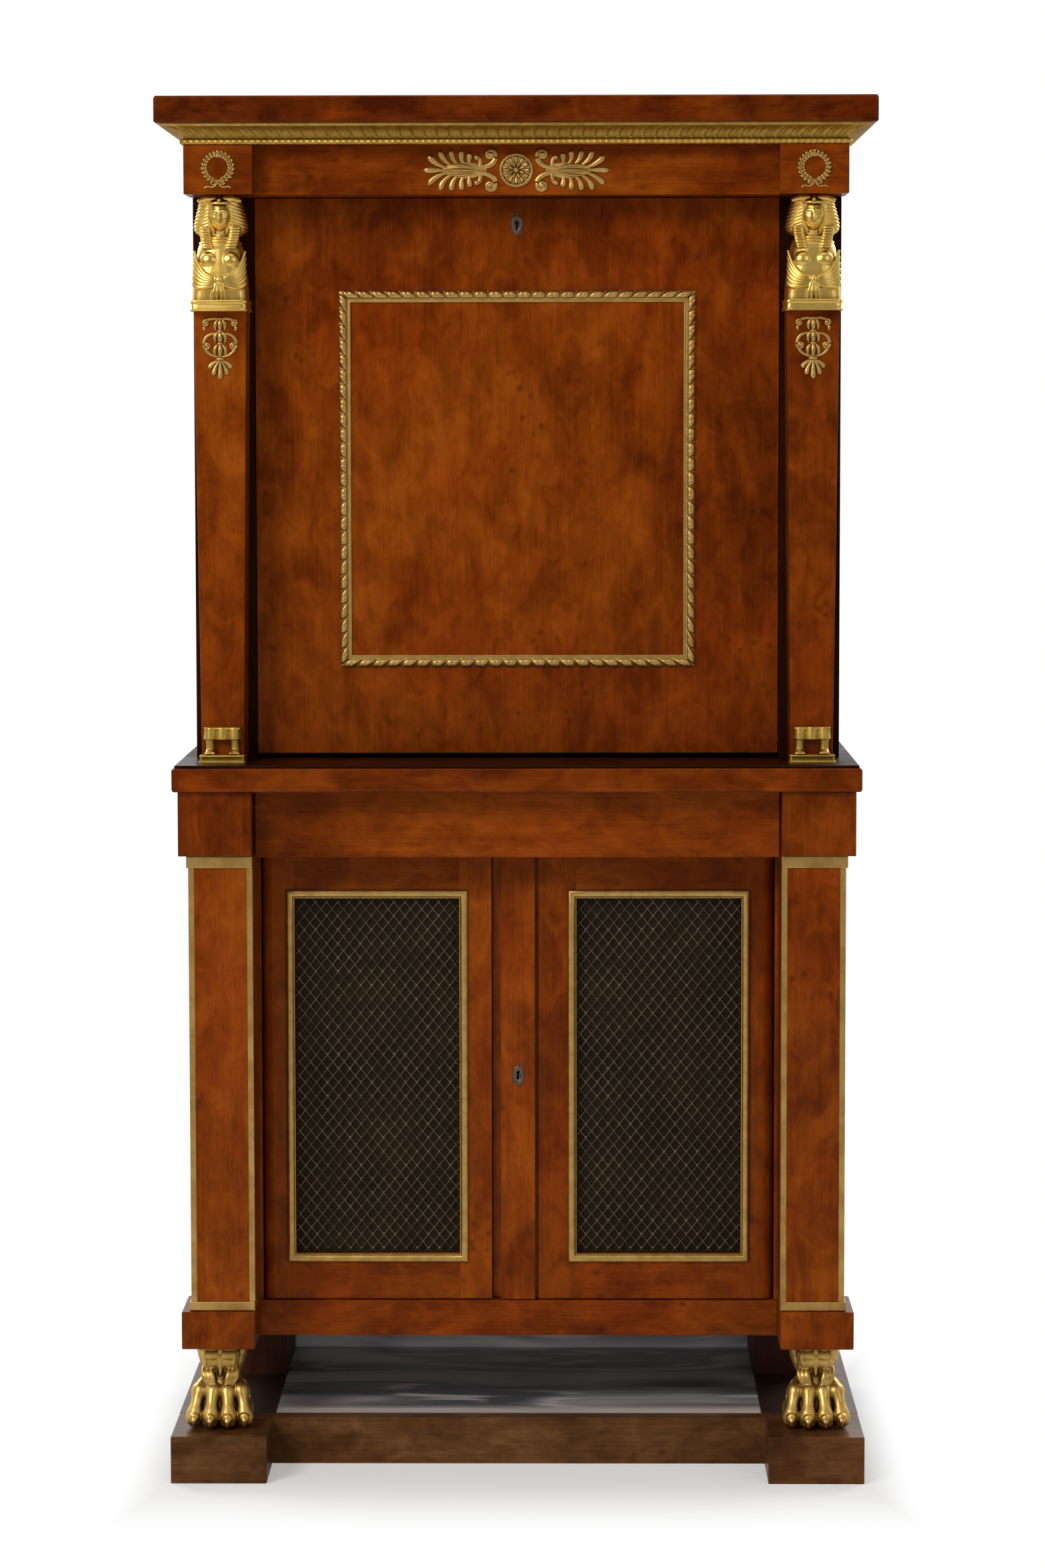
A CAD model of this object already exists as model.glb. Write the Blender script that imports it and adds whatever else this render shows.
"""Looks of the fall-front escritoire: veneers, gilt mounts, grilles and silk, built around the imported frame.

The frame is in metres. Carved and cast pieces are shaped in millimetres about their own origin, with X to the
right, Y to the back and Z up, and are then set against the box of the CAD node that they stand for.
"""
from math import ceil, copysign, cos, exp, hypot, pi, radians, sin, sqrt

import bmesh
import bpy
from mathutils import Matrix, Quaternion, Vector


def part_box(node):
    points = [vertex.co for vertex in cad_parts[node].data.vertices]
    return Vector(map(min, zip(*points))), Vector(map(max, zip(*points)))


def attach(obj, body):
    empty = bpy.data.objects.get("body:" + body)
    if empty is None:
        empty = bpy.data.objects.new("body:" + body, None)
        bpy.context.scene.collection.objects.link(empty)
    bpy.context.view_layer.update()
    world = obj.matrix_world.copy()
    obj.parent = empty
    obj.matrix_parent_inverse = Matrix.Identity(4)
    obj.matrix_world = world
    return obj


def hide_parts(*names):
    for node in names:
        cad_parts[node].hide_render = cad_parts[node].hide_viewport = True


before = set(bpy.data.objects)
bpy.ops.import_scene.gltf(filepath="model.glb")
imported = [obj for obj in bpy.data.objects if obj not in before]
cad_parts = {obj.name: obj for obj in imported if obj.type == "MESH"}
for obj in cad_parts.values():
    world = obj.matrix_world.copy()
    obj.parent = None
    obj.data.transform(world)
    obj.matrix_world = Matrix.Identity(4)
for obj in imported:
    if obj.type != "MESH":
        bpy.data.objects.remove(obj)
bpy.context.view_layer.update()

MM = 0.001
ROOT = "carcass"
UP = 2

# Camera, as found from the photograph's perspective
CAMERA_PLACE = (0.0521, -4.7187, 1.1221)
CAMERA_PITCH = radians(4.879)
CAMERA_YAW = radians(0.583)
CAMERA_ROLL = radians(-0.081)
CAMERA_LENS = 99.64


# Shapes

class Shell:
    """Gathers closed skins, in millimetres, that become one mesh."""

    def __init__(self):
        self.points = []
        self.faces = []

    def add(self, skin):
        points, faces = skin
        first = len(self.points)
        self.points.extend(tuple(p) for p in points)
        self.faces.extend([first + i for i in face] for face in faces)
        return self

    def add_both(self, skin, axis=0):
        """Adds a skin and its mirror image along X, or along the axis of another number."""
        points, faces = skin
        self.add(skin)
        return self.add(([[-c if k == axis else c for k, c in enumerate(p)] for p in points], faces))


def full_turn(count):
    """Even angles round a circle."""
    return [2 * pi * i / count for i in range(count)]


def half_turn(steps):
    """Even angles over half a circle, with both its ends."""
    return [pi * i / steps for i in range(steps + 1)]


def polar(radius, a):
    return radius * cos(a), radius * sin(a)


def circle(radius, count):
    return [polar(radius, a) for a in full_turn(count)]


def latitudes(rings):
    """Angles from near one pole of a ball to near the other."""
    return [pi * ((k + 0.4) / (rings - 0.2) - 0.5) for k in range(rings)]


def each(value, count):
    """One number for each point, where a single number is the same for all."""
    return [value] * count if isinstance(value, (int, float)) else value


def steps_from(first, step, count):
    return [first + step * i for i in range(count)]


def swell(base, rise, start, share, count):
    """Numbers that rise and fall along a line, by a part of a half wave."""
    return [base + rise * sin(pi * (start + share * i / (count - 1))) for i in range(count)]


def ease(value, low, high):
    t = min(max((value - low) / (high - low), 0.0), 1.0)
    return t * t * (3 - 2 * t)


def hump(value, middle, width):
    return exp(-((value - middle) / width) ** 2)


def skin(rings, loop=False):
    """Joins closed rings into a capped tube, or into a closed band."""
    n = len(rings[0])
    count = len(rings)
    faces = []
    for r in range(count if loop else count - 1):
        here = r * n
        there = (r + 1) % count * n
        for i in range(n):
            j = (i + 1) % n
            faces.append((here + i, here + j, there + j, there + i))
    if not loop:
        faces.append(tuple(reversed(range(n))))
        faces.append(tuple(range((count - 1) * n, count * n)))
    return [p for ring in rings for p in ring], faces


def oval(z, half_w, y0, y1, power=2.4, sides=40, lobes=None):
    """A level ring about X = 0 from y0 at the front to y1 at the back; lobes scales it by angle."""
    ring = []
    for a in full_turn(sides):
        c, s = cos(a), sin(a)
        grow = lobes(a) if lobes else 1.0
        x = half_w * grow * copysign(abs(c) ** (2 / power), c)
        y = (y0 + y1) / 2 + (y1 - y0) / 2 * grow * copysign(abs(s) ** (2 / power), s)
        ring.append((x, y, z))
    return ring


def ball(centre, radii, sides=16, rings=9):
    cx, cy, cz = centre
    rx, ry, rz = radii
    loops = []
    for lat in latitudes(rings):
        flat = cos(lat)
        loops.append([(cx + rx * flat * cos(a), cy + ry * flat * sin(a), cz + rz * sin(lat))
                      for a in full_turn(sides)])
    return skin(loops)


# How far a rod's round end reaches past its last point, and how thick it is there, as shares of its radius
ROUND_END = ((0.6, 0.78), (0.92, 0.3))


def tube(points, radii, sides=12):
    """A round-ended rod along points."""
    line = [Vector(p) for p in points]
    radii = each(radii, len(line))
    last = len(line) - 1
    span = line[last] - line[0]
    wide = Vector((0, 0, 1)) if abs(span.x) > max(abs(span.y), abs(span.z)) else Vector((1, 0, 0))

    def ring(place, along, r):
        across = (wide - along * along.dot(wide)).normalized()
        up = along.cross(across)
        return [place + across * r * cos(a) + up * r * sin(a) for a in full_turn(sides)]

    rings = []
    for i, p in enumerate(line):
        along = (line[min(i + 1, last)] - line[max(i - 1, 0)]).normalized()
        r = radii[i]
        if i == 0:
            rings += [ring(p - along * r * past, along, r * thick) for past, thick in reversed(ROUND_END)]
        rings.append(ring(p, along, r))
        if i == last:
            rings += [ring(p + along * r * past, along, r * thick) for past, thick in ROUND_END]
    return skin(rings)


def stroke(path, widths, heights, loop=False, steps=8):
    """A raised line on an upright face: X and Z points, with its half width and height at each."""
    count = len(path)
    widths = each(widths, count)
    heights = each(heights, count)
    rings = []
    for i, (x, z) in enumerate(path):
        before = path[i - 1] if loop else path[max(i - 1, 0)]
        after = path[(i + 1) % count] if loop else path[min(i + 1, count - 1)]
        dx, dz = after[0] - before[0], after[1] - before[1]
        d = hypot(dx, dz) or 1.0
        ring = []
        for a in half_turn(steps):
            off = widths[i] * cos(a)
            ring.append((x - dz / d * off, -heights[i] * sin(a), z + dx / d * off))
        rings.append(ring)
    return skin(rings, loop)


def bend(a, b, c, n=12):
    """Points on the curve from a to c that leans towards b."""
    found = []
    for i in range(n):
        t = i / (n - 1)
        found.append(tuple((1 - t) ** 2 * p + 2 * t * (1 - t) * q + t * t * r for p, q, r in zip(a, b, c)))
    return found


def spiral(centre, r0, r1, start, turn, n=22):
    """Points on a scroll about a centre; start and turn in degrees."""
    found = []
    for i in range(n):
        t = i / (n - 1)
        a = radians(start + turn * t)
        r = r0 + (r1 - r0) * t
        found.append((centre[0] + r * cos(a), centre[1] + r * sin(a)))
    return found


def club_leaf(root, lean, tip, width, height):
    """A palmette leaf that widens to a round, curled tip."""
    path = bend(root, lean, tip, 14)
    widths, heights = [], []
    for i in range(len(path)):
        t = i / (len(path) - 1)
        body = 0.42 + 0.58 * min(t / 0.72, 1.0)
        end = sqrt(max(0.0, 1 - max(0.0, (t - 0.8) / 0.2) ** 2))
        widths.append(width * body * max(end, 0.12))
        heights.append(height * (0.55 + 0.45 * t) * max(end, 0.2))
    return stroke(path, widths, heights)


def point_leaf(root, lean, tip, width, height):
    """A laurel or bellflower leaf with a pointed tip."""
    path = bend(root, lean, tip, 10)
    shares = swell(0, 1, 0.06, 0.9, len(path))
    return stroke(path, [width * s for s in shares], [height * (0.35 + 0.65 * s) for s in shares], steps=6)


def moulding(corners, loop, profile, pitch, per, relief, lift):
    """A moulded strip along a path with square corners.

    profile holds (inward, proud) points. relief(turn, share) says how far the face is raised, where turn runs
    from 0 to 1 over each repeat and share from 0 to 1 over the profile. lift(a, b, proud) gives the place.
    """
    size = len(corners)
    sides = size if loop else size - 1

    def inward(i):
        (ax, az), (bx, bz) = corners[i % size], corners[(i + 1) % size]
        d = hypot(bx - ax, bz - az)
        return -(bz - az) / d, (bx - ax) / d

    mitres = []
    for i in range(size):
        ends = [inward(j) for j in (i - 1, i) if loop or 0 <= j < sides]
        mitres.append((sum(e[0] for e in ends), sum(e[1] for e in ends)))
    top = len(profile) - 1
    normals = []
    for k in range(top + 1):
        (d0, h0), (d1, h1) = profile[max(k - 1, 0)], profile[min(k + 1, top)]
        d = hypot(d1 - d0, h1 - h0)
        normals.append((-(h1 - h0) / d, (d1 - d0) / d))

    def column(i, t, turn):
        p, q = corners[i], corners[(i + 1) % size]
        mp, mq = mitres[i], mitres[(i + 1) % size]
        ring = []
        for k, (d, h) in enumerate(profile):
            rise = relief(turn, k / top)
            d, h = d + rise * normals[k][0], h + rise * normals[k][1]
            a = (p[0] + d * mp[0]) * (1 - t) + (q[0] + d * mq[0]) * t
            b = (p[1] + d * mp[1]) * (1 - t) + (q[1] + d * mq[1]) * t
            ring.append(lift(a, b, h))
        return ring

    rings = []
    for i in range(sides):
        p, q = corners[i], corners[(i + 1) % size]
        repeats = max(1, round(hypot(q[0] - p[0], q[1] - p[1]) / pitch))
        for j in range(repeats * per):
            rings.append(column(i, j / (repeats * per), j / per % 1))
    if not loop:
        rings.append(column(sides - 1, 1.0, 0.0))
    return skin(rings, loop)


def linked(name, data):
    """A new object in the scene."""
    obj = bpy.data.objects.new(name, data)
    bpy.context.scene.collection.objects.link(obj)
    return obj


def outward_mesh(name, points, faces):
    """A mesh with its faces turned outwards."""
    mesh = bpy.data.meshes.new(name)
    mesh.from_pydata(points, [], faces)
    bm = bmesh.new()
    bm.from_mesh(mesh)
    bmesh.ops.recalc_face_normals(bm, faces=bm.faces)
    bm.to_mesh(mesh)
    bm.free()
    return mesh


def fused(shell, voxel, soften, keep):
    """One watertight skin over all the shells, softened, with a share of its faces kept."""
    clay = linked("clay", outward_mesh("clay", shell.points, shell.faces))
    remesh = clay.modifiers.new("fuse", "REMESH")
    remesh.mode = "VOXEL"
    remesh.voxel_size = voxel
    clay.modifiers.new("soften", "SMOOTH").iterations = soften
    clay.modifiers.new("thin", "DECIMATE").ratio = keep
    graph = bpy.context.evaluated_depsgraph_get()
    made = bpy.data.meshes.new_from_object(clay.evaluated_get(graph))
    whole = Shell().add(([v.co[:] for v in made.vertices], [list(p.vertices) for p in made.polygons]))
    bpy.data.objects.remove(clay)
    bpy.data.meshes.remove(made)
    return whole


# Angles in degrees from which an edge stays sharp on cast pieces, on leafy mouldings and on boards
CAST_SHARP = 42
LEAFY_SHARP = 60
BOARD_SHARP = 30


def piece(shell, name, origin, body, slot, material, *nodes, mirror=False, sharp=CAST_SHARP):
    """A smooth-shaded piece that rides on a body, in place of the CAD nodes that it stands for.

    The shell's origin is set at a place in the frame, and mirror takes the mirror image across X = 0.
    """
    flip = -1 if mirror else 1
    points = [(flip * (origin[0] + x * MM), origin[1] + y * MM, origin[2] + z * MM)
              for x, y, z in shell.points]
    mesh = outward_mesh(name, points, shell.faces)
    mesh.shade_smooth()
    mesh.set_sharp_from_angle(angle=radians(sharp))
    mesh.materials.append(material)
    obj = linked(name, mesh)
    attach(obj, body)
    if nodes:
        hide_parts(*nodes)
    return obj


def gilt_pairs(*parts):
    """Gilt pieces on the right of the case, and then their mirror images on the left.

    Each part is a shell, a name, a place, a finish and the CAD node that it stands for, if any. Where one
    node holds both sides, the left piece stands for it, and otherwise the node's name takes the side.
    """
    for side, mirror in (("right", False), ("left", True)):
        for shell, name, origin, material, node in parts:
            nodes = [node.format(side)] if node and (mirror or "{}" in node) else []
            piece(shell, f"{name}_{side}", origin, ROOT, "gilt", material, *nodes, mirror=mirror)


# Materials

class Tree:
    """The node tree of a material, or of the world, with short ways to add nodes."""

    def __init__(self, name, world=None):
        self.owner = world or bpy.data.materials.new(name)
        self.owner.use_nodes = True
        self.tree = self.owner.node_tree
        self.tree.nodes.clear()
        self.places = self.node("ShaderNodeTexCoord").outputs
        self.spot = self.places["Object"]

    def node(self, kind, inputs=None, **settings):
        made = self.tree.nodes.new(kind)
        for key, value in settings.items():
            setattr(made, key, value)
        for key, value in (inputs or {}).items():
            self.put(made.inputs[key], value)
        return made

    def put(self, socket, value):
        if isinstance(value, bpy.types.NodeSocket):
            self.tree.links.new(value, socket)
        elif socket.type == "RGBA":
            socket.default_value = (*value, 1.0)
        else:
            socket.default_value = value

    def axes(self, vector=None):
        return self.node("ShaderNodeSeparateXYZ", {"Vector": vector or self.spot}).outputs

    def move(self, vector, scale=(1, 1, 1), offset=(0, 0, 0), turn=(0, 0, 0)):
        return self.node("ShaderNodeMapping", {"Vector": vector, "Scale": scale, "Location": offset,
                                               "Rotation": turn}).outputs[0]

    def noise(self, vector, scale, detail=2.0, rough=0.5, warp=0.0):
        """Noise of one scale, or of a scale along each axis."""
        if isinstance(scale, tuple):
            vector = self.move(vector, scale)
            scale = 1.0
        return self.node("ShaderNodeTexNoise", {"Vector": vector, "Scale": scale, "Detail": detail,
                                                "Roughness": rough, "Distortion": warp}).outputs["Fac"]

    def cells(self, vector, scale):
        return self.node("ShaderNodeTexVoronoi", {"Vector": vector, "Scale": scale}).outputs["Distance"]

    def math(self, operation, a, b=0.0):
        return self.node("ShaderNodeMath", {0: a, 1: b}, operation=operation).outputs[0]

    def plus(self, a, b):
        return self.math("ADD", a, b)

    def minus(self, a, b):
        return self.math("SUBTRACT", a, b)

    def times(self, a, b):
        return self.math("MULTIPLY", a, b)

    def size(self, a):
        return self.math("ABSOLUTE", a)

    def within(self, value, low, high):
        """1 between two limits and 0 elsewhere."""
        return self.times(self.math("GREATER_THAN", value, low), self.math("LESS_THAN", value, high))

    def vector(self, operation, a, b):
        return self.node("ShaderNodeVectorMath", {0: a, 1: b}, operation=operation).outputs

    def span(self, value, low, high, to_low=0.0, to_high=1.0, kind="SMOOTHSTEP"):
        """The value spread from one range to another, and held at its ends."""
        return self.node("ShaderNodeMapRange", {"Value": value, "From Min": low, "From Max": high,
                                                "To Min": to_low, "To Max": to_high},
                         interpolation_type=kind).outputs[0]

    def sum(self, *terms):
        """Adds (value, weight) pairs, each taken about its middle, to one half."""
        total = 0.5
        for value, weight in terms:
            total = self.plus(self.times(self.minus(value, 0.5), weight), total)
        return total

    def ramp(self, value, *stops):
        made = self.node("ShaderNodeValToRGB", {"Fac": value})
        elements = made.color_ramp.elements
        while len(elements) < len(stops):
            elements.new(0.5)
        for element, (at, colour) in zip(elements, stops):
            element.position = at
            element.color = (*colour, 1.0)
        return made.outputs["Color"]

    def mix(self, share, a, b, blend="MIX"):
        made = self.node("ShaderNodeMix", {0: share, 6: a, 7: b}, data_type="RGBA", blend_type=blend)
        return made.outputs[2]

    def stain(self, colour, mask, share, tint, blend="MIX"):
        """The colour, taken by a share of the mask towards a tint."""
        return self.mix(self.times(mask, share), colour, tint, blend)

    def edges(self, radius):
        """A rounded normal at sharp edges, and a mask of those edges."""
        rounded = self.node("ShaderNodeBevel", {"Radius": radius}, samples=4).outputs[0]
        flat = self.node("ShaderNodeNewGeometry").outputs["Normal"]
        turn = self.vector("DOT_PRODUCT", rounded, flat)["Value"]
        return rounded, self.span(turn, 0.995, 0.90)

    def bump(self, height, strength, depth, normal=None):
        made = self.node("ShaderNodeBump", {"Height": height, "Strength": strength, "Distance": depth})
        if normal is not None:
            self.put(made.inputs["Normal"], normal)
        return made.outputs[0]

    def shaders(self, share, a, b):
        return self.node("ShaderNodeMixShader", {0: share, 1: a, 2: b}).outputs[0]

    def surface(self, **inputs):
        named = {key.replace("_", " ").title().replace("Ior", "IOR"): value for key, value in inputs.items()}
        shader = self.node("ShaderNodeBsdfPrincipled", named)
        self.node("ShaderNodeOutputMaterial", {"Surface": shader.outputs[0]})
        return self.owner


ALONG_X = (0, pi / 2, 0)
UPRIGHT = (0, 0, 0)
MAHOGANY = ((0.23, (0.054, 0.0058, 0.0004)), (0.40, (0.134, 0.0212, 0.0009)), (0.53, (0.212, 0.0395, 0.0018)),
            (0.72, (0.318, 0.071, 0.0045)))
PLINTH_BROWN = ((0.27, (0.022, 0.0080, 0.0026)), (0.45, (0.068, 0.0270, 0.0088)),
                (0.60, (0.125, 0.0540, 0.0180)), (0.78, (0.215, 0.1040, 0.0400)))
PORE_BROWN = (0.026, 0.0045, 0.0006)
SPECK_BROWN = (0.036, 0.0052, 0.0006)
BLUSH = (1.0, 0.72, 0.75)
HONEY = (0.30, 0.095, 0.014)
HEART_LIFT = 0.03
POLISH = (1.0, 0.50, 0.20)


def veneer(name, grain, seed, rails=None, tone=0.0, heart=None, stops=MAHOGANY):
    """French-polished figured mahogany.

    rails gives the X and Z reach where the grain lies level, and heart the box that is a little lighter.
    """
    t = Tree(name)
    spot = t.spot
    axes = t.axes()
    aside = t.size(axes["X"])
    if rails:
        inner, outer, foot, head = rails
        beyond = t.plus(t.math("LESS_THAN", axes["Z"], foot), t.math("GREATER_THAN", axes["Z"], head))
        level = t.times(t.within(aside, inner, outer), beyond)
        turned = t.move(spot, turn=ALONG_X, offset=(3.1, 0, 0))
        spot = t.node("ShaderNodeMix", {0: level, 4: spot, 5: turned}, data_type="VECTOR").outputs[1]
    spot = t.move(spot, turn=grain, offset=(seed * 1.37, seed * 0.71, seed * 2.13))
    drift = t.noise(spot, 4.0, 2, 0.5, 0.5)
    flame = t.noise(spot, (17, 17, 7.5), 3, 0.5, 1.3)
    mottle = t.noise(spot, (52, 52, 34), 2, 0.55, 1.0)
    fibre = t.noise(spot, (480, 480, 9), 1)
    pores = t.span(t.noise(spot, (1300, 1300, 60), 0), 0.62, 0.76)
    blush = t.span(t.noise(t.move(spot, offset=(7.7, 0, 0)), 7.0, 2), 0.42, 0.66)
    scatter = t.span(t.noise(spot, 11, 2), 0.50, 0.68)
    specks = t.times(t.span(t.cells(t.move(spot, (75, 75, 62)), 1.0), 0.34, 0.10), scatter)
    value = t.plus(t.sum((drift, 0.42), (flame, 0.50), (mottle, 0.34), (fibre, 0.13)), tone)
    if heart:
        lo, hi = heart
        inside = t.times(t.math("LESS_THAN", aside, hi.x), t.within(axes["Z"], lo.z, hi.z))
        value = t.plus(value, t.times(inside, HEART_LIFT))
    colour = t.ramp(value, *stops)
    colour = t.stain(colour, pores, 0.30, PORE_BROWN)
    colour = t.stain(colour, specks, 0.5, SPECK_BROWN)
    colour = t.stain(colour, blush, 0.55, BLUSH, "MULTIPLY")
    rounded, edge = t.edges(0.0011)
    rubbed = t.times(edge, t.span(t.noise(spot, 55, 3), 0.38, 0.66))
    colour = t.stain(colour, rubbed, 0.42, HONEY)
    rough = t.span(t.sum((drift, 0.5), (mottle, 0.5), (pores, 0.4)), 0.2, 0.9, 0.28, 0.46)
    bump = t.bump(t.minus(t.times(fibre, 0.3), pores), 0.07, 0.0004, rounded)
    return t.surface(base_color=colour, roughness=rough, normal=bump, specular_ior_level=0.20,
                     specular_tint=POLISH, coat_weight=0.04, coat_roughness=0.15)


def plain_wood(name, grain, tones, rough, seed, boards=None):
    """Open-grained wood in three tones; boards gives the first board's edge and their width."""
    t = Tree(name)
    dark, middle, light = tones
    spot = t.spot
    shade = 0.0
    if boards:
        left, step = boards
        index = t.math("FLOOR", t.math("DIVIDE", t.minus(t.axes()["X"], left), step))
        shift = t.node("ShaderNodeCombineXYZ", {"Y": t.times(index, 5.3), "Z": t.times(index, 7.9)})
        spot = t.vector("ADD", spot, shift.outputs[0])[0]
        chance = t.node("ShaderNodeTexWhiteNoise", {"W": index}, noise_dimensions="1D").outputs["Value"]
        shade = t.times(t.minus(chance, 0.5), 0.30)
    spot = t.move(spot, turn=grain, offset=(seed, seed * 0.6, seed * 1.9))
    drift = t.noise(spot, 3.0, 3, 0.6)
    figure = t.noise(spot, (46, 46, 2.6), 5, 0.62, 1.1)
    fibre = t.noise(spot, (760, 760, 11), 2)
    pores = t.span(t.noise(spot, (1500, 1500, 30), 1), 0.58, 0.72)
    value = t.plus(t.sum((drift, 0.5), (figure, 0.6), (fibre, 0.25)), shade)
    colour = t.ramp(value, (0.25, dark), (0.5, middle), (0.78, light))
    colour = t.stain(colour, pores, 0.4, dark)
    rounded, edge = t.edges(0.0009)
    scuffs = t.times(edge, t.span(t.noise(spot, 40, 4), 0.42, 0.64))
    colour = t.stain(colour, scuffs, 0.4, light)
    spread = t.span(t.sum((drift, 0.6), (fibre, 0.5)), 0.2, 0.8, rough - 0.08, rough + 0.12)
    bump = t.bump(t.minus(t.times(fibre, 0.5), pores), 0.2, 0.0005, rounded)
    return t.surface(base_color=colour, roughness=spread, normal=bump, specular_ior_level=0.2)


def ebonised(name):
    """Black-stained, polished pearwood."""
    t = Tree(name)
    fibre = t.noise(t.spot, (700, 700, 14), 2)
    drift = t.noise(t.spot, 6, 4, 0.6)
    colour = t.ramp(t.sum((drift, 0.7), (fibre, 0.4)), (0.3, (0.0080, 0.0016, 0.0007)),
                    (0.7, (0.0240, 0.0046, 0.0017)))
    rounded, edge = t.edges(0.0009)
    rubbed = t.times(edge, t.span(t.noise(t.spot, 60, 3), 0.45, 0.65))
    colour = t.stain(colour, rubbed, 0.35, (0.06, 0.028, 0.012))
    rough = t.span(drift, 0.3, 0.7, 0.34, 0.52)
    bump = t.bump(fibre, 0.08, 0.0004, rounded)
    return t.surface(base_color=colour, roughness=rough, normal=bump, specular_ior_level=0.14,
                     specular_tint=POLISH)


def gilt(name, bright, warm, dark, low_rough, reach=0.007):
    """Fire-gilt bronze, burnished on the high places and darkened in the hollows."""
    t = Tree(name)
    cloud = t.noise(t.spot, 70, 4, 0.6)
    grit = t.noise(t.spot, 900, 3, 0.6)
    hollow = t.node("ShaderNodeAmbientOcclusion", {"Distance": reach}, samples=6, only_local=True)
    height = t.plus(hollow.outputs["AO"], t.times(t.minus(cloud, 0.5), 0.35))
    clean = t.span(height, 0.30, 0.92)
    colour = t.mix(t.span(cloud, 0.35, 0.68), bright, warm)
    colour = t.mix(clean, dark, colour)
    colour = t.stain(colour, t.span(grit, 0.58, 0.75), 0.35, dark)
    rough = t.plus(t.span(clean, 0.0, 1.0, low_rough + 0.26, low_rough), t.times(grit, 0.12))
    bump = t.bump(t.sum((grit, 0.6), (cloud, 0.5)), 0.16, 0.0003)
    return t.surface(base_color=colour, metallic=1.0, roughness=rough, normal=bump)


def plain_metal(name, bright, dull, rough):
    """Brass, bronze or steel with fine scratches and a little tarnish."""
    t = Tree(name)
    cloud = t.noise(t.spot, 38, 4, 0.62)
    scratch = t.noise(t.spot, (900, 900, 25), 2)
    colour = t.mix(t.span(cloud, 0.34, 0.70), bright, dull)
    rounded, edge = t.edges(0.0005)
    colour = t.stain(colour, edge, 0.4, bright)
    spread = t.span(t.sum((cloud, 0.7), (scratch, 0.5)), 0.2, 0.8, rough - 0.08, rough + 0.14)
    bump = t.bump(scratch, 0.12, 0.0002, rounded)
    return t.surface(base_color=colour, metallic=1.0, roughness=spread, normal=bump)


STONE_TONES = ((0.28, (0.085, 0.087, 0.096)), (0.50, (0.220, 0.215, 0.224)), (0.70, (0.420, 0.405, 0.400)))
STONE_LIMIT = 0.9
VEIN_GREY = (0.66, 0.64, 0.63)
REAR_GREY = (0.92, 0.91, 0.92)
LIP_PINK = (0.76, 0.64, 0.59)
MARGIN_BROWN = (0.030, 0.013, 0.008)


def streaked_stone(name, front, lift=1.0, border=None):
    """Polished grey stone with wavy streaks across the case, paler at its front edge and at the rear.

    lift brightens its tones, and border is the distance from the middle where its dark margins start.
    """
    t = Tree(name)
    sway = t.noise(t.spot, (3.2, 7.0, 7.0), 1, 0.4)
    bent = t.vector("ADD", t.move(t.spot, (1.3, 17, 26)), t.times(sway, 3.4))[0]
    streak = t.noise(bent, 1.0, 1, 0.4)
    fine = t.noise(bent, (1.7, 3.4, 3.4), 1, 0.4)
    cloud = t.noise(t.spot, 8, 3, 0.5)
    stops = [(at, tuple(min(c * lift, STONE_LIMIT) for c in tone)) for at, tone in STONE_TONES]
    colour = t.ramp(t.sum((streak, 1.6), (fine, 0.6), (cloud, 0.15)), *stops)
    colour = t.stain(colour, t.span(fine, 0.56, 0.70), 0.75, VEIN_GREY)
    axes = t.axes()
    rear = t.span(axes["Y"], front + 0.10, front + 0.30)
    colour = t.stain(colour, rear, t.span(streak, 0.40, 0.58, 0.30, 0.97), REAR_GREY)
    colour = t.stain(colour, t.span(axes["Y"], front + 0.045, front + 0.012), 0.7, LIP_PINK)
    if border:
        colour = t.mix(t.span(t.size(axes["X"]), border - 0.001, border + 0.001), colour, MARGIN_BROWN)
    rough = t.span(cloud, 0.3, 0.7, 0.30, 0.44)
    rounded, _ = t.edges(0.001)
    bump = t.bump(cloud, 0.05, 0.0005, rounded)
    return t.surface(base_color=colour, roughness=rough, normal=bump, specular_ior_level=0.4)


def silk_cloth(name):
    """Fine dark olive taffeta with a soft sheen."""
    t = Tree(name)
    thread_scale = 1150.0 / 6.283
    weave = 1.0
    for axis in ("X", "Z"):
        threads = t.node("ShaderNodeTexWave", {"Vector": t.spot, "Scale": thread_scale, "Distortion": 0.6},
                         bands_direction=axis).outputs["Fac"]
        weave = t.times(threads, weave)
    slub = t.noise(t.spot, (60, 60, 420), 3)
    cloud = t.noise(t.spot, 11, 4, 0.6)
    colour = t.ramp(t.sum((cloud, 0.7), (slub, 0.4), (weave, 0.25)), (0.25, (0.0120, 0.0074, 0.0024)),
                    (0.55, (0.0240, 0.0155, 0.0056)), (0.8, (0.0400, 0.0270, 0.0110)))
    rough = t.span(slub, 0.3, 0.7, 0.55, 0.75)
    bump = t.bump(t.sum((weave, 0.7), (slub, 0.5)), 0.3, 0.0003)
    return t.surface(base_color=colour, roughness=rough, normal=bump, sheen_weight=0.05, sheen_roughness=0.4,
                     sheen_tint=(0.8, 0.6, 0.3), specular_ior_level=0.12)


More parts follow.
